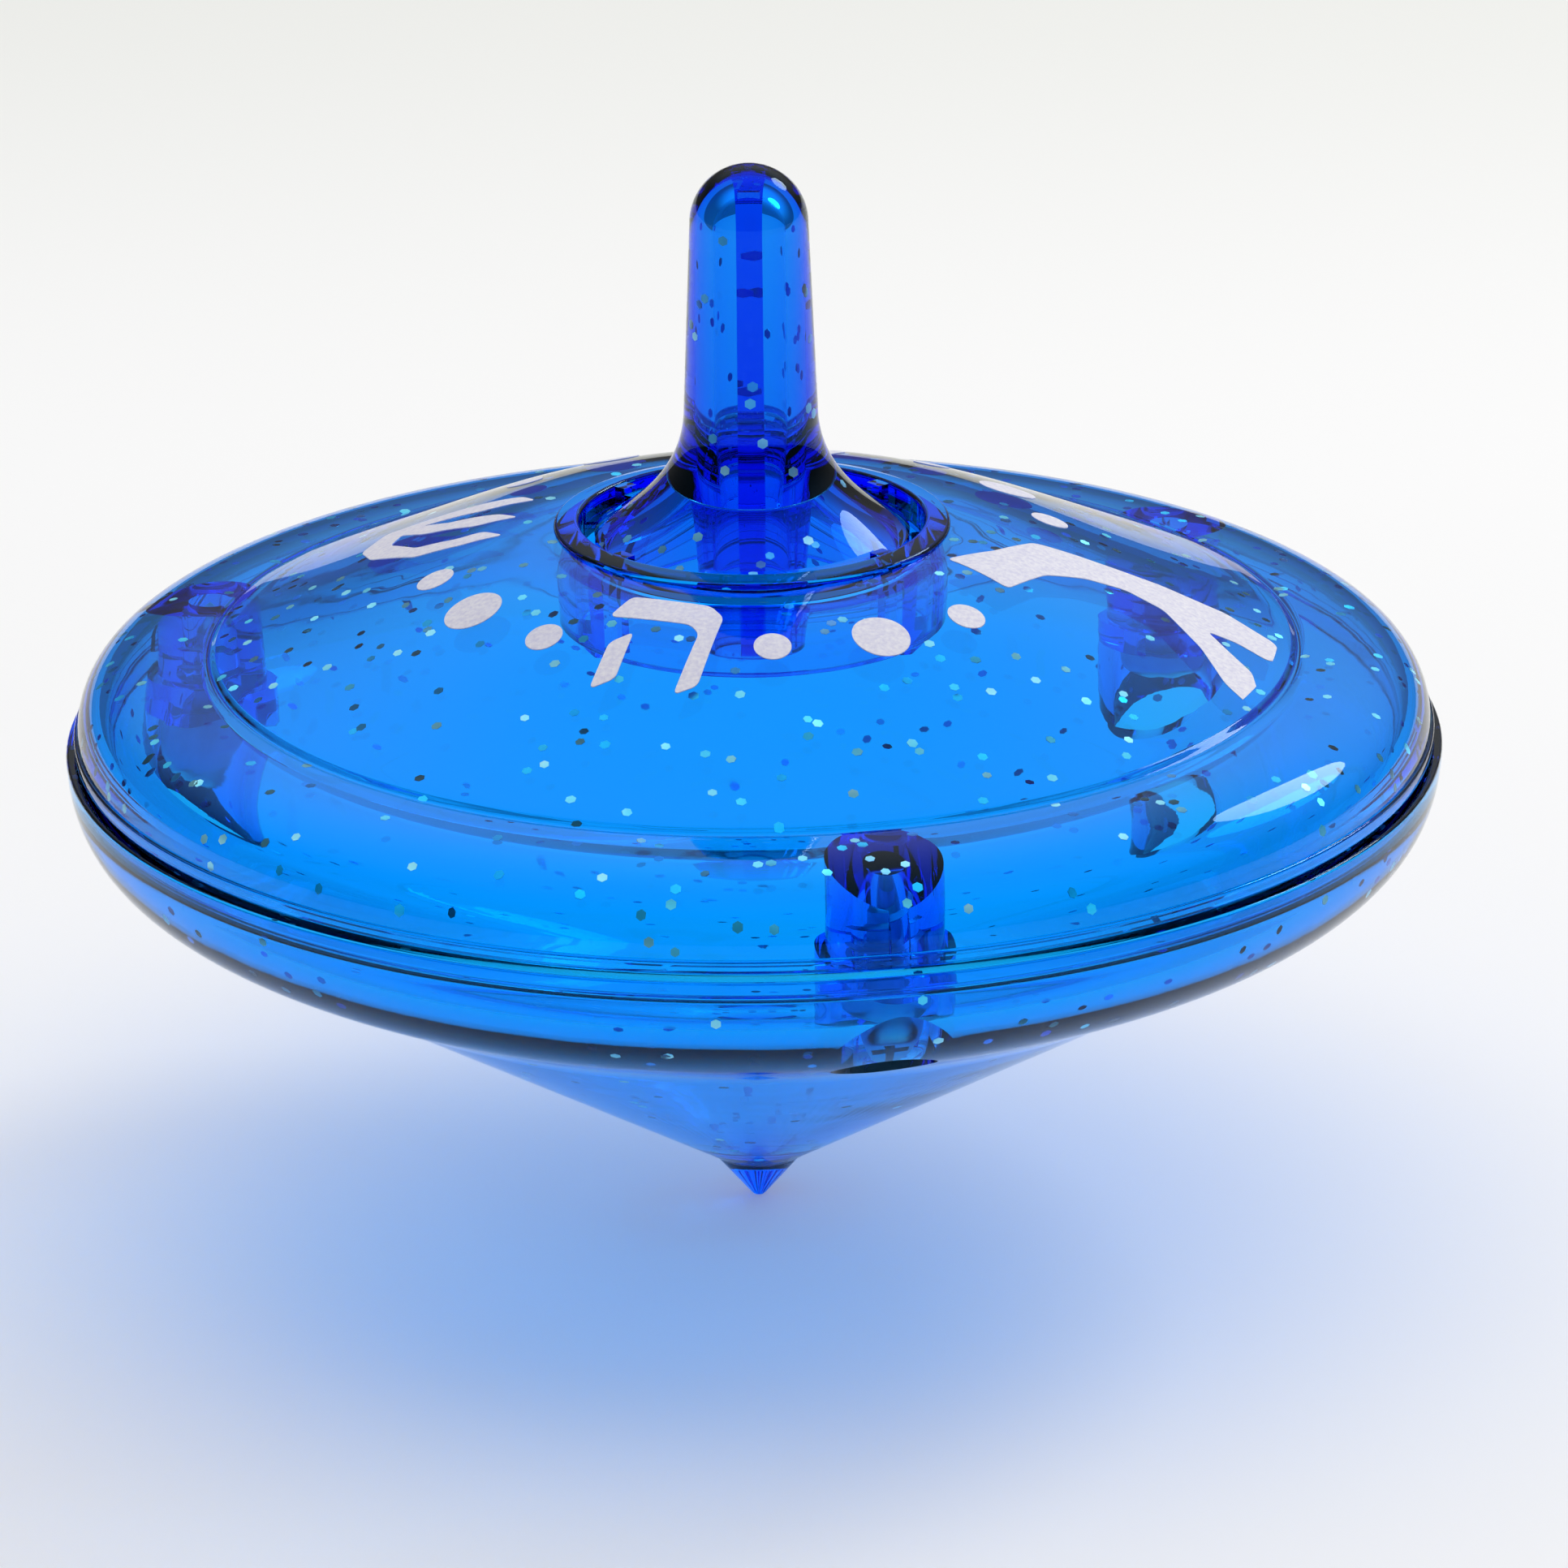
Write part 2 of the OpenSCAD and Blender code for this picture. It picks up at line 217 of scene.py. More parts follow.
combine(tubes, turned("inside_form", [
    (0, tip_z + wall), (floor_r, tip_z + wall), *middle[:-1],
    (body_r - wall / 2, lip_z + 1), (0, lip_z + 1)]), "INTERSECT")
combine(lower_shell, tubes, "UNION")
combine(lower_shell, rods(socket_r, socket_foot, seat_z), "DIFFERENCE")
combine(lower_shell, rods(hole_r, seat_z - 1, lip_z), "DIFFERENCE")


# Clear acrylic, injection moulded and polished: the eye gets a hard gloss, a deep blue that
# grows with the thickness, and faint flow waves about 6 mm apart with smears from fingers.
def clear_plastic(name, dye):
    """Clear moulded plastic whose dye takes its toll per metre"""
    material, tree, shader, place = new_material(name)
    shader.inputs["Base Color"].default_value = to_linear("#C4F0FF")
    shader.inputs["Transmission Weight"].default_value = 1
    shader.inputs["IOR"].default_value = 1.49
    shader.inputs["Specular Tint"].default_value = to_linear("#5AB8FF")
    flow = add_node(tree, "ShaderNodeTexNoise", {"Scale": 1 / (6 * mm), "Detail": 2}, {"Vector": place})
    smear = add_node(tree, "ShaderNodeTexNoise", {"Scale": 1 / (9 * mm), "Detail": 4}, {"Vector": place})
    dull = add_node(tree, "ShaderNodeMapRange",
                    {"From Min": 0.5, "From Max": 0.8, "To Min": 0.005, "To Max": 0.06},
                    {"Value": smear.outputs["Fac"]})
    tree.links.new(dull.outputs["Result"], shader.inputs["Roughness"])
    waves = add_node(tree, "ShaderNodeBump", {"Strength": 0.12, "Distance": 0.1 * mm},
                     {"Height": flow.outputs["Fac"]})
    tree.links.new(waves.outputs["Normal"], shader.inputs["Normal"])
    tint = add_node(tree, "ShaderNodeVolumeAbsorption", {"Color": to_linear(dye), "Density": 1500})
    tree.links.new(tint.outputs["Volume"], tree.nodes["Material Output"].inputs["Volume"])
    return material


plastic = clear_plastic("clear_blue_acrylic", "#00EEFF")
finish_piece(lower_shell, plastic, "lower_shell")


# Glitter in the lower shell: six-sided flakes of silvered film, 0.6 mm across, that were
# stirred into the melt and lie about level with the walls where the melt carried them.
flake_r, flake_t, flake_lean = 0.3, 0.05, 0.14
flake_cover, flake_floor = 0.2, 0.25


def sprinkle(name, lines, count, seed, wall):
    """Scatter flakes in the walls beside some lines, more of them where the walls reach further out"""
    chance = random.Random(seed)
    stretches, shares = [], []
    for line in lines:
        for (r0, z0), (r1, z1) in zip(line, line[1:]):
            stretches.append((r0, z0, r1, z1))
            shares.append(math.hypot(r1 - r0, z1 - z0) * (r0 + r1))
    bpy.ops.object.select_all(action="DESELECT")
    bpy.ops.mesh.primitive_cylinder_add(vertices=6, radius=flake_r * mm, depth=flake_t * mm)
    flakes = bpy.context.object
    flakes.name = flakes.data.name = name
    bpy.ops.object.mode_set(mode="EDIT")
    bpy.ops.mesh.select_all(action="SELECT")
    bpy.ops.mesh.delete(type="VERT")
    for r0, z0, r1, z1 in chance.choices(stretches, shares, k=count):
        t, turn = chance.random(), chance.uniform(0, math.tau)
        depth = flake_cover + (wall - flake_cover - flake_floor) * chance.random() ** 2.2
        outward = Vector((z1 - z0, 0, r0 - r1)).normalized()
        spot = Vector((r0 + t * (r1 - r0), 0, z0 + t * (z1 - z0))) - depth * outward
        about = Matrix.Rotation(turn, 3, "Z")
        lean = Vector([chance.gauss(0, flake_lean) for axis in "xyz"])
        facing = about @ (outward + lean).normalized()
        bpy.ops.mesh.primitive_cylinder_add(
            vertices=6, radius=flake_r * chance.uniform(0.85, 1.05) * mm, depth=flake_t * mm,
            location=about @ spot * mm, rotation=facing.to_track_quat("Z", "Y").to_euler())
    bpy.ops.object.mode_set(mode="OBJECT")
    return flakes


# Vacuum-coated polyester film: a bright mirror with a slightly milky lacquer on it. The tone
# changes over a few millimetres, so that neighbouring flakes differ.
film, tree, shader, place = new_material("silvered_polyester_film")
shade = add_node(tree, "ShaderNodeTexNoise", {"Scale": 1 / (2.5 * mm), "Detail": 1}, {"Vector": place})
tone = add_node(tree, "ShaderNodeMix", {}, {"Factor": shade.outputs["Fac"]}, data_type="RGBA")
tone.inputs["A"].default_value = to_linear("#FFFFFF")
tone.inputs["B"].default_value = to_linear("#C9D6DC")
tree.links.new(tone.outputs["Result"], shader.inputs["Base Color"])
shader.inputs["Metallic"].default_value = 1
shader.inputs["Roughness"].default_value = 0.3
finish_piece(sprinkle("glitter_lower", [[(tip_r + 1, tip_z + 0.6), *belly[:-3]]], 260, 7, wall), film)


# Upper shell: a moulded dome with a shoulder, a ring groove between them and a well for the
# stem. The same clear acrylic. A tongue at the seam drops into the lower shell's lip, and
# three columns with pilot holes take the screws.
upper_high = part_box("upper_shell")[1]
rim_z = upper_high.z / mm
bead_r, bead_z = upper_high.x / mm, lip_z + 0.25
shoulder_r, shoulder_z, crown_z = bead_r - 0.2, bead_z + 0.75, lip_z + 5.1
groove_r, groove_w, groove_depth = 29.9, 0.7, 0.05
dome_r, dome_edge_z, dome_slope = groove_r - groove_w, crown_z + 0.3, math.radians(22)
rim_r, dome_z = 10.75, rim_z - 0.5
well_r, collar_r, collar_z = 9.35, 10.3, rim_z - 6.2
tongue_r, tongue_t, tongue_z = rebate_r - 0.1, 0.8, bead_z - 1.5
column_r, column_top, pilot_r, pilot_top, rib_t = 3.05, crown_z - 1.3, 1.1, crown_z - 2.2, 1.0
wing_angle, notch_angle, wing_base_z = 36, 24, rim_z - 1.65
ledge_r, ledge_h, ledge_sink, key_w, key_l = well_r - 0.7, 1, 0.5, 1.0, 1.2
key_top, key_foot, apart = rim_z - 0.15, collar_z + 0.2, 0.03
screw_r = math.hypot(screw_places[0].x, screw_places[0].y) / mm

shoulder = curve((shoulder_r, shoulder_z), (shoulder_r, shoulder_z + 0.95 * (crown_z - shoulder_z)),
                 (groove_r + 0.3 * (shoulder_r - groove_r), crown_z), (groove_r, crown_z))
groove = curve((groove_r, crown_z), (groove_r - 0.45 * groove_w, crown_z - groove_depth / 0.45),
               (dome_r + 0.6 * groove_w, crown_z - groove_depth), (dome_r, dome_edge_z), 16)
dome = curve((dome_r, dome_edge_z),
             (dome_r - 0.55 * (dome_r - rim_r) * math.cos(dome_slope),
              dome_edge_z + 0.55 * (dome_r - rim_r) * math.sin(dome_slope)),
             (rim_r + 0.28 * (dome_r - rim_r), dome_z), (rim_r, dome_z), 40)
under_dome = [p for p in beside(dome, wall) if p[0] > collar_r + 0.2]
upper_shell = turned("upper_shell_moulding", [
    (collar_r, collar_z, 0.15), (well_r, collar_z, 0.15), (well_r, rim_z, 0.3), (rim_r, rim_z - 0.25, 0.2),
    *dome[::-1], *groove[-2::-1], *shoulder[-2::-1],
    (bead_r, shoulder_z, 0.15), (bead_r, bead_z, 0.12), (tongue_r, bead_z), (tongue_r, tongue_z, 0.2),
    (tongue_r - tongue_t, tongue_z, 0.2), (tongue_r - tongue_t, bead_z), (shoulder_r - wall, bead_z),
    *beside(shoulder, wall), *under_dome, (collar_r, dome_z - wall)])
combine(upper_shell, rods(column_r, join_z + 0.04, column_top), "UNION")
ribs = []
for place in screw_places:
    bpy.ops.mesh.primitive_cube_add(size=1)
    rib = bpy.context.object
    rib.scale = ((shoulder_r - wall / 2 - screw_r) * mm, rib_t * mm, (pilot_top - bead_z) * mm)
    middle_r = (shoulder_r - wall / 2 + screw_r) / 2 * mm
    turn = math.atan2(place.y, place.x)
    rib.location = (middle_r * math.cos(turn), middle_r * math.sin(turn), (bead_z + pilot_top) / 2 * mm)
    rib.rotation_euler.z = turn
    ribs.append(rib)
combine(upper_shell, joined(ribs), "UNION")
combine(upper_shell, rods(pilot_r, join_z - 1, pilot_top), "DIFFERENCE")
for side in (0, 180):
    for way in (-1, 1):
        middle_angle = side + way * (notch_angle + wing_angle) / 2
        ledge = turned("ledge", [
            (ledge_r, wing_base_z - ledge_h), (well_r + ledge_sink, wing_base_z - ledge_h),
            (well_r + ledge_sink, wing_base_z - apart), (ledge_r, wing_base_z - apart)],
            middle_angle - (wing_angle - notch_angle) / 2, wing_angle - notch_angle, 12)
        combine(upper_shell, ledge, "UNION")
        key_angle = math.radians(side + way * (wing_angle + 4))
        bpy.ops.mesh.primitive_cube_add(size=1)
        key = bpy.context.object
        key.scale = (key_l * mm, key_w * mm, (key_top - key_foot) * mm)
        key_r = (ledge_r + key_l / 2) * mm
        key_z = (key_top + key_foot) / 2 * mm
        key.location = (key_r * math.cos(key_angle), key_r * math.sin(key_angle), key_z)
        key.rotation_euler.z = key_angle
        combine(upper_shell, joined([key]), "UNION")
finish_piece(upper_shell, plastic, "upper_shell")
finish_piece(sprinkle("glitter_upper", [shoulder, dome], 560, 11, wall), film)


# Print on the dome: the four letters of the game with three dots between each two, the tops of
# the letters towards the stem. White ink, put on with a soft pad, a film of a few hundredths
# of a millimetre. Outlines are in millimetres, to the right and towards the stem. The pad put
# the three dots on the left a millimetre further out.
ink_t, ink_sink, letter_round = 0.04, 0.02, 0.35
bar_foot, bar_h = dome_edge_z - 2, rim_z - dome_edge_z + 4
letters = {
    "hei": (-106, 16.0, [
        [(-3.7, 1.4), (-3.0, 3.4), (1.4, 3.0), (2.4, 2.0), (2.5, -3.4), (1.4, -4.2), (1.5, 0.4),
         (0.8, 1.1)],
        [(-2.0, 0.1), (-2.0, -3.4), (-3.2, -4.2), (-3.1, -0.8)]]),
    "gimel": (-14.8, 20.0, [
        [(-3.1, 8.4), (-0.6, 6.4), (2.3, 4.9), (3.4, 1.7), (4.8, -1.7), (5.4, -5.1), (4.4, -8.0), (2.6, -8.9),
         (1.5, -8.3), (1.9, -6.4), (1.5, -4.9), (0.2, -6.4), (-1.0, -7.9), (-3.6, -8.9), (-4.8, -8.5),
         (-3.7, -7.0), (-1.0, -5.1), (1.4, -2.5), (1.5, -0.4), (0.4, 1.6), (-1.4, 3.4), (-4.6, 4.7)]]),
    "nun": (75, 16.2, [
        [(-1.6, 1.5), (-0.9, 3.5), (1.5, 3.1), (2.4, 2.2), (2.4, -4.2), (-3.0, -4.2), (-2.6, -2.3),
         (1.2, -2.4), (1.2, 0.9), (0.6, 1.4)]]),
    "shin": (162, 18.0, [
        [(-1.8, 4.2), (-0.9, 5.3), (-0.1, 2.4), (-0.6, -1.2), (0.7, 0.8), (1.2, 3.9), (2.0, 5.3), (2.7, 3.0),
         (1.5, -0.4), (0.0, -2.2), (1.6, -2.3), (3.9, 0.0), (4.3, 2.6), (3.9, 3.9), (4.8, 5.4), (5.4, 3.2),
         (5.4, 0.5), (3.2, -2.9), (1.0, -4.2), (-2.0, -3.8)]]),
}
dot_r, left_dot_r, small_dot, large_dot = 16.6, 17.6, 1.0, 1.55
dot_places = {-166: small_dot, -148: large_dot, -129: small_dot, -86.5: small_dot, -66: large_dot,
              -47: small_dot, 12: small_dot, 32: large_dot, 53: small_dot, 98: small_dot,
              118: large_dot, 139: small_dot}


def stamp(outline, turn, radius, soften):
    """An upright bar with a letter's outline, standing through the dome"""
    bpy.ops.object.select_all(action="DESELECT")
    bpy.ops.mesh.primitive_circle_add(vertices=len(outline), fill_type="NGON")
    bar = bpy.context.object
    turn = math.radians(turn)
    out = Vector((math.cos(turn), math.sin(turn), 0))
    across = Vector((-math.sin(turn), math.cos(turn), 0))
    for vertex, (x, y) in zip(bar.data.vertices, outline):
        vertex.co = (across * x + out * (radius - y)) * mm + Vector((0, 0, bar_foot * mm))
    bpy.ops.object.mode_set(mode="EDIT")
    bpy.ops.mesh.select_all(action="SELECT")
    if soften:
        bpy.ops.mesh.bevel(offset=soften * mm, segments=4, affect="VERTICES")
    bpy.ops.mesh.extrude_region_move(TRANSFORM_OT_translate={"value": (0, 0, bar_h * mm)})
    bpy.ops.mesh.select_all(action="SELECT")
    bpy.ops.mesh.normals_make_consistent(inside=False)
    bpy.ops.object.mode_set(mode="OBJECT")
    return bar


def printed(name, bars):
    """The ink film where the bars stand through the dome"""
    ink = turned(name, [*beside(dome, -ink_t)[1:-1], *beside(dome, ink_sink)[-2:0:-1]])
    combine(ink, joined(bars), "INTERSECT")
    return ink


# Pad-printing ink: nearly white and dull, with fine pinholes and thin spots about 0.25 mm
# apart, where some of the blue comes through.
paint, tree, shader, place = new_material("white_pad_printing_ink")
grain = add_node(tree, "ShaderNodeTexNoise", {"Scale": 1 / (0.25 * mm), "Detail": 3}, {"Vector": place})
cover = add_node(tree, "ShaderNodeMapRange", {"From Min": 0.3, "From Max": 0.7},
                 {"Value": grain.outputs["Fac"]})
tone = add_node(tree, "ShaderNodeMix", {}, {"Factor": cover.outputs["Result"]}, data_type="RGBA")
tone.inputs["A"].default_value = to_linear("#D3D3EA")
tone.inputs["B"].default_value = to_linear("#ECECF6")
tree.links.new(tone.outputs["Result"], shader.inputs["Base Color"])
skin = add_node(tree, "ShaderNodeBump", {"Strength": 0.2, "Distance": 0.02 * mm},
                {"Height": grain.outputs["Fac"]})
tree.links.new(skin.outputs["Normal"], shader.inputs["Normal"])
shader.inputs["Roughness"].default_value = 0.55
for letter, (turn, radius, outlines) in letters.items():
    finish_piece(printed("print_" + letter, [stamp(o, turn, radius, letter_round) for o in outlines]), paint)
dots = []
for turn, size in dot_places.items():
    steps = [math.tau * i / 40 for i in range(40)]
    round_outline = [(size * math.cos(a), size * math.sin(a)) for a in steps]
    dots.append(stamp(round_outline, turn, left_dot_r if turn < -120 else dot_r, 0))
finish_piece(printed("print_dots", dots), paint)


# Stem: a moulded finger grip with a round end, a bell that fills most of the well, a spigot
# below it and two wings with clip legs. Clear acrylic with more dye. Two half-round cores leave
# a web inside. The barbs snap under the collar, and keys in the collar stop it turning.
stem_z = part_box("stem")[1].z / mm
stem_top_r, root_r, flare_z, flare_edge_z = 3.2, 3.625, rim_z + 6.3, rim_z - 0.8
bell_r, bell_t, spigot_r, foot_r, foot_z = 8.55, 1.8, 3.25, 2.75, rim_z - 7.5
bore_r, bore_top_r, crown_t, web_t = 2.05, 1.95, 1.6, 1.2
wing_r, leg_r, leg_t, leg_w, barb_r, barb_h = well_r - 0.1, 8.5, 0.7, 3.0, well_r + 0.6, 1.6
barb_z, wing_root_r, wing_z = collar_z - 0.1, bell_r - 0.65, rim_z - 0.5
leg_top, notch_r, web_foot = wing_base_z + 0.7, math.hypot(leg_r, leg_w / 2), foot_z + 0.15

flare = curve((bell_r, flare_edge_z), (bell_r - 0.4 * (bell_r - root_r), flare_edge_z + 1.22),
              (root_r, flare_z - 0.535 * (flare_z - flare_edge_z)), (root_r, flare_z), 64)
bell = [p for p in beside(flare, bell_t) if spigot_r + 0.1 < p[0] < bell_r - bell_t / 2]


def round_end(radius, top):
    """Quarter circle from the side up to the axis"""
    steps = [math.pi / 2 * i / 16 for i in range(17)]
    return [(radius * math.cos(a), top - radius + radius * math.sin(a)) for a in steps[:-1]] + [(0, top)]


stem = turned("stem_moulding", [
    (bore_r, foot_z, 0.1), (foot_r, foot_z, 0.25), (spigot_r, bell[-1][1], 0.3), *bell[::-1],
    *flare, *round_end(stem_top_r, stem_z), *round_end(bore_top_r, stem_z - crown_t)[::-1]])
bpy.ops.mesh.primitive_cube_add(size=1)
web = bpy.context.object
web.scale = (web_t * mm, (bore_r + foot_r) * mm, (stem_z - crown_t / 2 - web_foot) * mm)
web.location.z = (stem_z - crown_t / 2 + web_foot) / 2 * mm
combine(stem, joined([web]), "UNION")
for side in (0, 180):
    wing = turned("wing", [
        (wing_root_r, wing_base_z + 0.02), (wing_r, wing_base_z, 0.1), (wing_r, wing_z, 0.2),
        (wing_root_r, wing_z + 0.05)],
        side - wing_angle, 2 * wing_angle, 32)
    notch = turned("notch", [
        (notch_r, wing_base_z - 1), (well_r + 1, wing_base_z - 1),
        (well_r + 1, rim_z + 1), (notch_r, rim_z + 1)],
        side - notch_angle, 2 * notch_angle, 24)
    combine(wing, notch, "DIFFERENCE")
    bpy.ops.object.select_all(action="DESELECT")
    outline = rounded([
        (leg_r - leg_t, leg_top), (leg_r - leg_t, barb_z - barb_h, 0.15), (leg_r, barb_z - barb_h, 0.1),
        (barb_r, barb_z, 0.1), (leg_r, barb_z), (leg_r, leg_top)])
    bpy.ops.mesh.primitive_circle_add(vertices=len(outline), fill_type="NGON")
    leg = bpy.context.object
    facing = 1 if side == 0 else -1
    for vertex, (x, z) in zip(leg.data.vertices, outline):
        vertex.co = (facing * x * mm, -leg_w / 2 * mm, z * mm)
    bpy.ops.object.mode_set(mode="EDIT")
    bpy.ops.mesh.select_all(action="SELECT")
    bpy.ops.mesh.extrude_region_move(TRANSFORM_OT_translate={"value": (0, leg_w * mm, 0)})
    bpy.ops.mesh.select_all(action="SELECT")
    bpy.ops.mesh.normals_make_consistent(inside=False)
    bpy.ops.object.mode_set(mode="OBJECT")
    combine(wing, leg, "UNION")
    combine(stem, wing, "UNION")
finish_piece(stem, clear_plastic("deep_blue_acrylic", "#00DAFD"), "stem")
finish_piece(sprinkle("glitter_stem", [flare + [(stem_top_r, stem_z - stem_top_r)]], 70, 5, 1.2), film)


# Screws: three small self-tapping screws with pan heads and cross recesses, driven up from
# below. Cold-headed steel wire with a rolled thread, zinc-plated. The thread bites into the
# upper shell's columns.
head_r, head_h, core_r, crest_r, pitch, point_h = 2.4, 1.7, 0.95, 1.3, 1.1, 1.0
screw_top, head_z = pilot_top - 0.1, seat_z - head_h
recess_l, recess_w, recess_h = 2.8, 0.7, 2
thread_z, thread_half, root_sink = seat_z + 0.4, 0.3, 0.1

# Zinc plate on steel: a cool grey metal, a little cloudy, with fine drawing lines about 0.2 mm
# apart.
zinc, tree, shader, place = new_material("zinc_plated_steel")
cloud = add_node(tree, "ShaderNodeTexNoise", {"Scale": 1 / (0.9 * mm), "Detail": 3}, {"Vector": place})
tone = add_node(tree, "ShaderNodeMix", {}, {"Factor": cloud.outputs["Fac"]}, data_type="RGBA")
tone.inputs["A"].default_value = to_linear("#A9AEB4")
tone.inputs["B"].default_value = to_linear("#D2D5D8")
tree.links.new(tone.outputs["Result"], shader.inputs["Base Color"])
shader.inputs["Metallic"].default_value = 1
worn = add_node(tree, "ShaderNodeMapRange", {"To Min": 0.22, "To Max": 0.42}, {"Value": cloud.outputs["Fac"]})
tree.links.new(worn.outputs["Result"], shader.inputs["Roughness"])
lines = add_node(tree, "ShaderNodeTexNoise", {"Scale": 1 / (0.2 * mm), "Detail": 2}, {"Vector": place})
drawn = add_node(tree, "ShaderNodeBump", {"Strength": 0.15, "Distance": 0.02 * mm},
                 {"Height": lines.outputs["Fac"]})
tree.links.new(drawn.outputs["Normal"], shader.inputs["Normal"])

for node, place in zip(("screw_front", "screw_right", "screw_left"), screw_places):
    screw = turned(node + "_wire", [
        (0, head_z), *curve((head_r - 0.9, head_z), (head_r - 0.35, head_z),
                            (head_r, head_z + 0.4), (head_r, seat_z - 0.7), 10),
        (head_r, seat_z - apart, 0.15), (core_r, seat_z - apart), (core_r, screw_top - point_h),
        (0, screw_top)], steps=48)
    for turn in (0, 90):
        bpy.ops.mesh.primitive_cube_add(size=1)
        arm = bpy.context.object
        arm.scale = (recess_l * mm, recess_w * mm, recess_h * mm)
        arm.location.z = head_z * mm
        arm.rotation_euler.z = math.radians(turn)
        combine(screw, joined([arm]), "DIFFERENCE")
    bpy.ops.object.select_all(action="DESELECT")
    bpy.ops.mesh.primitive_circle_add(vertices=3, fill_type="NOTHING")
    thread = bpy.context.object
    flank = ((core_r - root_sink, -thread_half), (crest_r, 0), (core_r - root_sink, thread_half))
    for vertex, (r, z) in zip(thread.data.vertices, flank):
        vertex.co = (r * mm, 0, (thread_z + z) * mm)
    turns = int((screw_top - point_h - thread_z) / pitch)
    helix = thread.modifiers.new("thread", "SCREW")
    helix.axis, helix.steps, helix.render_steps = "Z", 32, 32
    helix.iterations, helix.screw_offset = turns, pitch * mm
    bpy.context.view_layer.objects.active = thread
    bpy.ops.object.modifier_apply(modifier=helix.name)
    bpy.ops.object.mode_set(mode="EDIT")
    bpy.ops.mesh.select_all(action="SELECT")
    bpy.ops.mesh.remove_doubles(threshold=1e-7)
    bpy.ops.mesh.select_all(action="DESELECT")
    bpy.ops.mesh.select_non_manifold()
    bpy.ops.mesh.fill_holes(sides=0)
    bpy.ops.mesh.select_all(action="SELECT")
    bpy.ops.mesh.normals_make_consistent(inside=False)
    bpy.ops.object.mode_set(mode="OBJECT")
    combine(screw, thread, "UNION")
    for vertex in screw.data.vertices:
        vertex.co += Vector((place.x, place.y, 0))
    finish_piece(screw, zinc, node)


# Table, light and camera: a sheet of white paper that runs on behind the toy, a round lamp at
# the back on the right, and a pale room whose ceiling gives most of the light. The paper keeps
# the toy's blue shadow.
bpy.ops.mesh.primitive_plane_add(size=6)
paper_sheet = bpy.context.object
paper_sheet.name = paper_sheet.data.name = "paper_sheet"
paper, tree, shader, place = new_material("white_drawing_paper")
fibre = add_node(tree, "ShaderNodeTexNoise", {"Scale": 1 / (0.8 * mm), "Detail": 4}, {"Vector": place})
# Painted shade: the paper's colour goes darker and warmer from 0.12 m to 0.28 m behind the toy, standing in
# for the light falling off on the far paper.
depth = add_node(tree, "ShaderNodeSeparateXYZ", {}, {"Vector": place}).outputs["Y"]
painted_falloff_shade = add_node(tree, "ShaderNodeMapRange", {"From Min": 0.12, "From Max": 0.28}, {"Value": depth},
               interpolation_type="SMOOTHSTEP")
tone = add_node(tree, "ShaderNodeMix", {}, {"Factor": painted_falloff_shade.outputs["Result"]}, data_type="RGBA")
tone.inputs["A"].default_value = to_linear("#F8F8F8")
tone.inputs["B"].default_value = to_linear("#E6E7E2")
tree.links.new(tone.outputs["Result"], shader.inputs["Base Color"])
tooth = add_node(tree, "ShaderNodeBump", {"Strength": 0.1, "Distance": 0.05 * mm},
                 {"Height": fibre.outputs["Fac"]})
tree.links.new(tooth.outputs["Normal"], shader.inputs["Normal"])
shader.inputs["Roughness"].default_value = 0.9
shader.inputs["Specular IOR Level"].default_value = 0.1
glow = add_node(tree, "ShaderNodeEmission", {"Color": to_linear("#F2F6FF")})
rays = add_node(tree, "ShaderNodeLightPath").outputs
through = add_node(tree, "ShaderNodeMath", {1: 0.85}, {0: rays["Is Transmission Ray"]}, operation="MULTIPLY")
seen = add_node(tree, "ShaderNodeMath", {1: 0.15}, {0: rays["Is Camera Ray"], 2: through.outputs[0]},
                operation="MULTIPLY_ADD")
sheet = add_node(tree, "ShaderNodeMixShader", {},
                 {"Fac": seen.outputs[0], 1: shader.outputs[0], 2: glow.outputs[0]})
tree.links.new(sheet.outputs[0], tree.nodes["Material Output"].inputs["Surface"])
paper_sheet.data.materials.append(paper)

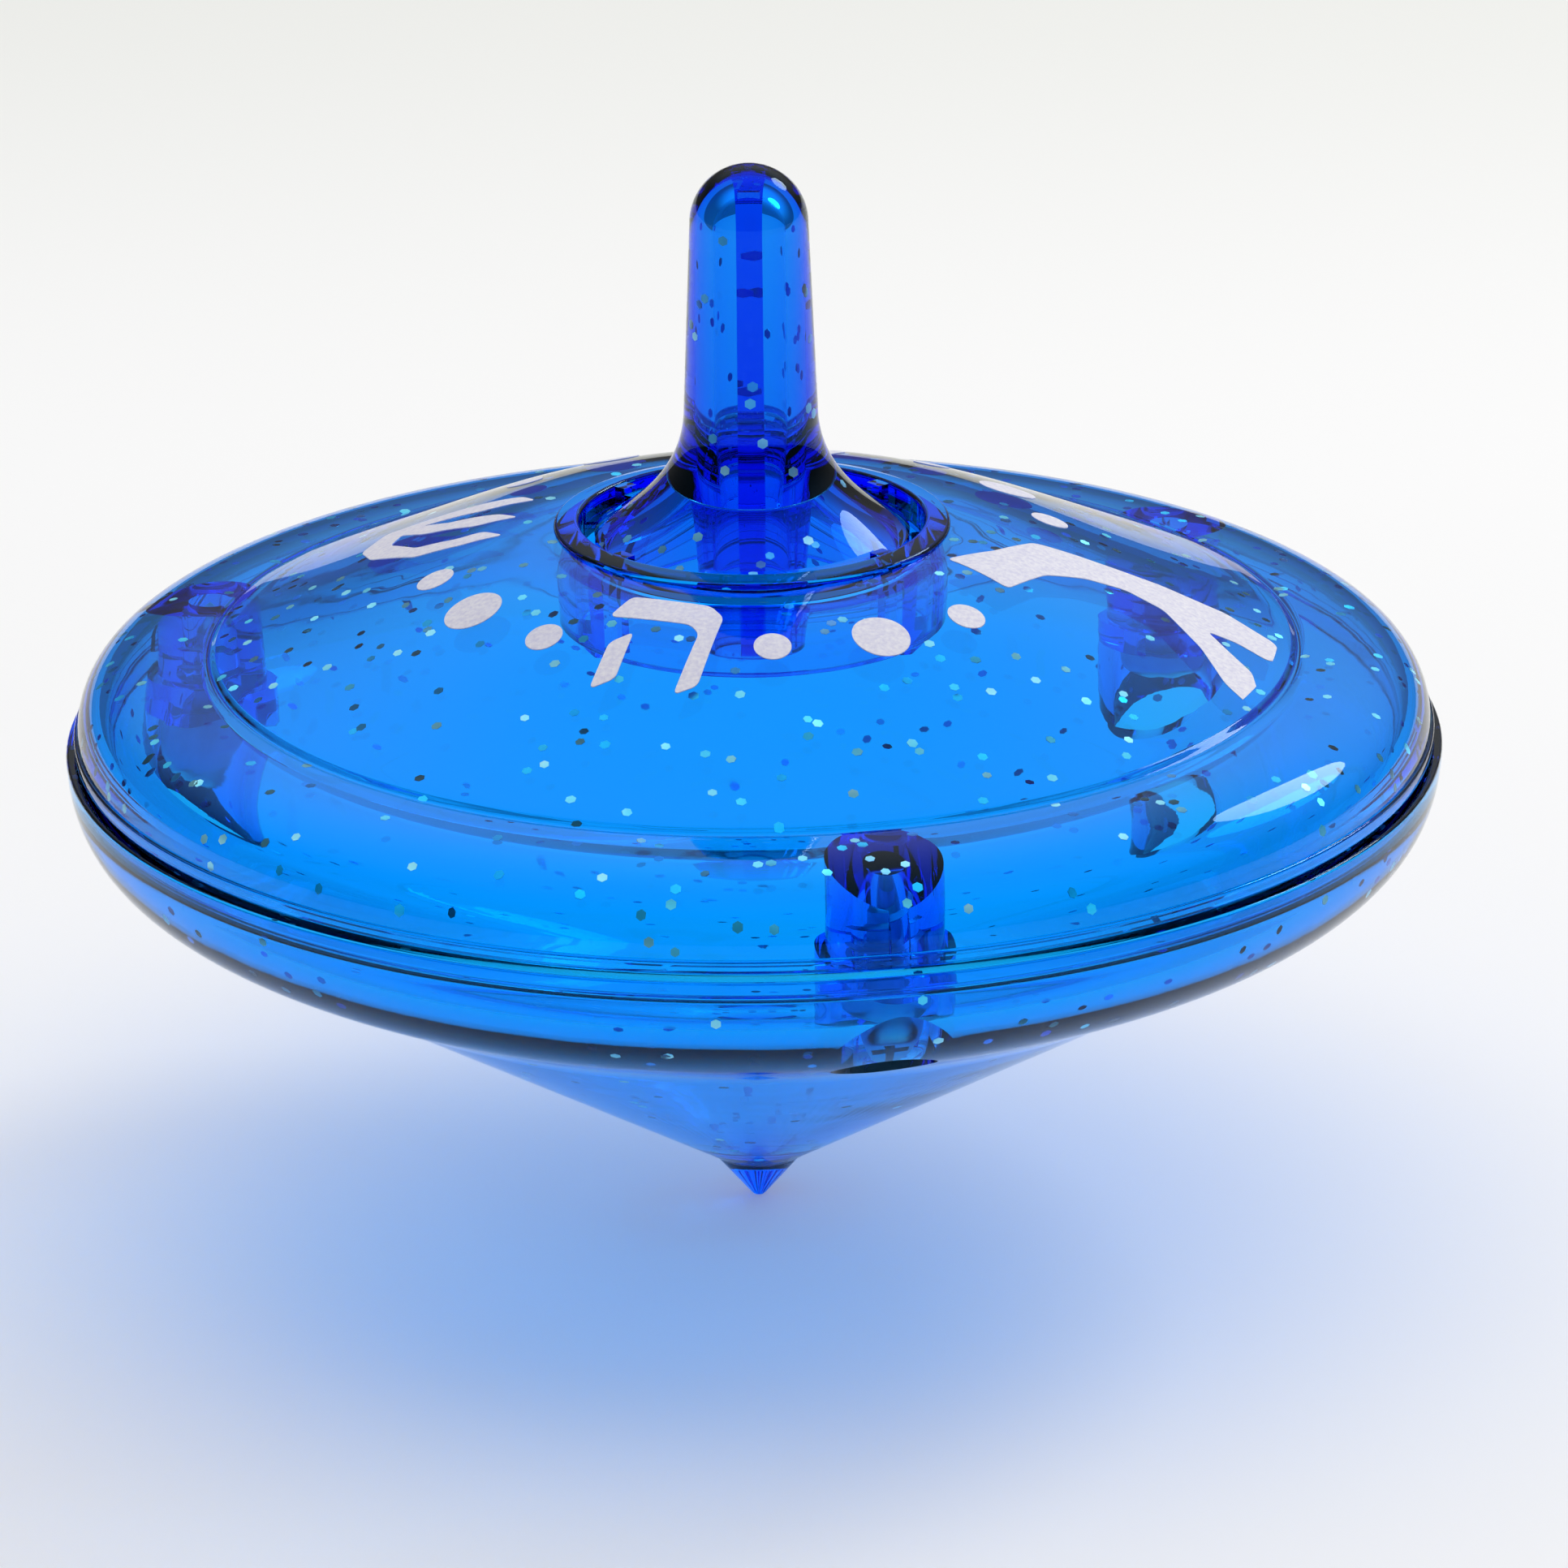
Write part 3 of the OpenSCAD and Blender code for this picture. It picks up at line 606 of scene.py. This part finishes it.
bpy.ops.object.light_add(type="AREA", location=(0.50, 0.46, 0.56))
key = bpy.context.object
key.data.shape, key.data.size, key.data.energy = "DISK", 0.3, 1.6
key.rotation_euler = (Vector((0, 0, 0.03)) - key.location).to_track_quat("-Z", "Y").to_euler()

room = bpy.data.worlds.new("pale_room")
room.use_nodes = True
bpy.context.scene.world = room
tree = room.node_tree
tree.nodes["Background"].inputs["Color"].default_value = to_linear("#F7F6F4")
way = add_node(tree, "ShaderNodeTexCoord").outputs["Generated"]
ceiling = add_node(tree, "ShaderNodeVectorMath", {1: (0.18, 0.38, 0.91)}, {0: way}, operation="DOT_PRODUCT")
level = add_node(tree, "ShaderNodeMapRange",
                 {"From Min": 0.45, "From Max": 0.85, "To Min": 0.35, "To Max": 1.5},
                 {"Value": ceiling.outputs["Value"]}, interpolation_type="SMOOTHSTEP")
rays = add_node(tree, "ShaderNodeLightPath").outputs
mirrored = add_node(tree, "ShaderNodeMath", {}, {0: rays["Is Glossy Ray"], 1: rays["Is Transmission Ray"]},
                    operation="SUBTRACT", use_clamp=True)
calm = add_node(tree, "ShaderNodeMapRange", {"To Min": 1, "To Max": 0.35}, {"Value": mirrored.outputs[0]})
strength = add_node(tree, "ShaderNodeMath", {}, {0: level.outputs["Result"], 1: calm.outputs["Result"]},
                    operation="MULTIPLY")
tree.links.new(strength.outputs[0], tree.nodes["Background"].inputs["Strength"])

scene = bpy.context.scene
scene.view_settings.view_transform = "Standard"
scene.cycles.max_bounces = 24
scene.cycles.transmission_bounces = 24
scene.cycles.blur_glossy = 0

bpy.ops.object.camera_add(location=(0, -0.5034, 0.21126))
camera = bpy.context.object
aim = Vector((0.0016, 0, 0.02418)) - camera.location
roll = Matrix.Rotation(math.radians(-0.534), 3, "Z")
camera.rotation_euler = (aim.to_track_quat("-Z", "Y").to_matrix() @ roll).to_euler()
camera.data.sensor_width, camera.data.lens = 36, 225.4
camera.data.clip_start, camera.data.clip_end = 0.01, 20
scene.camera = camera
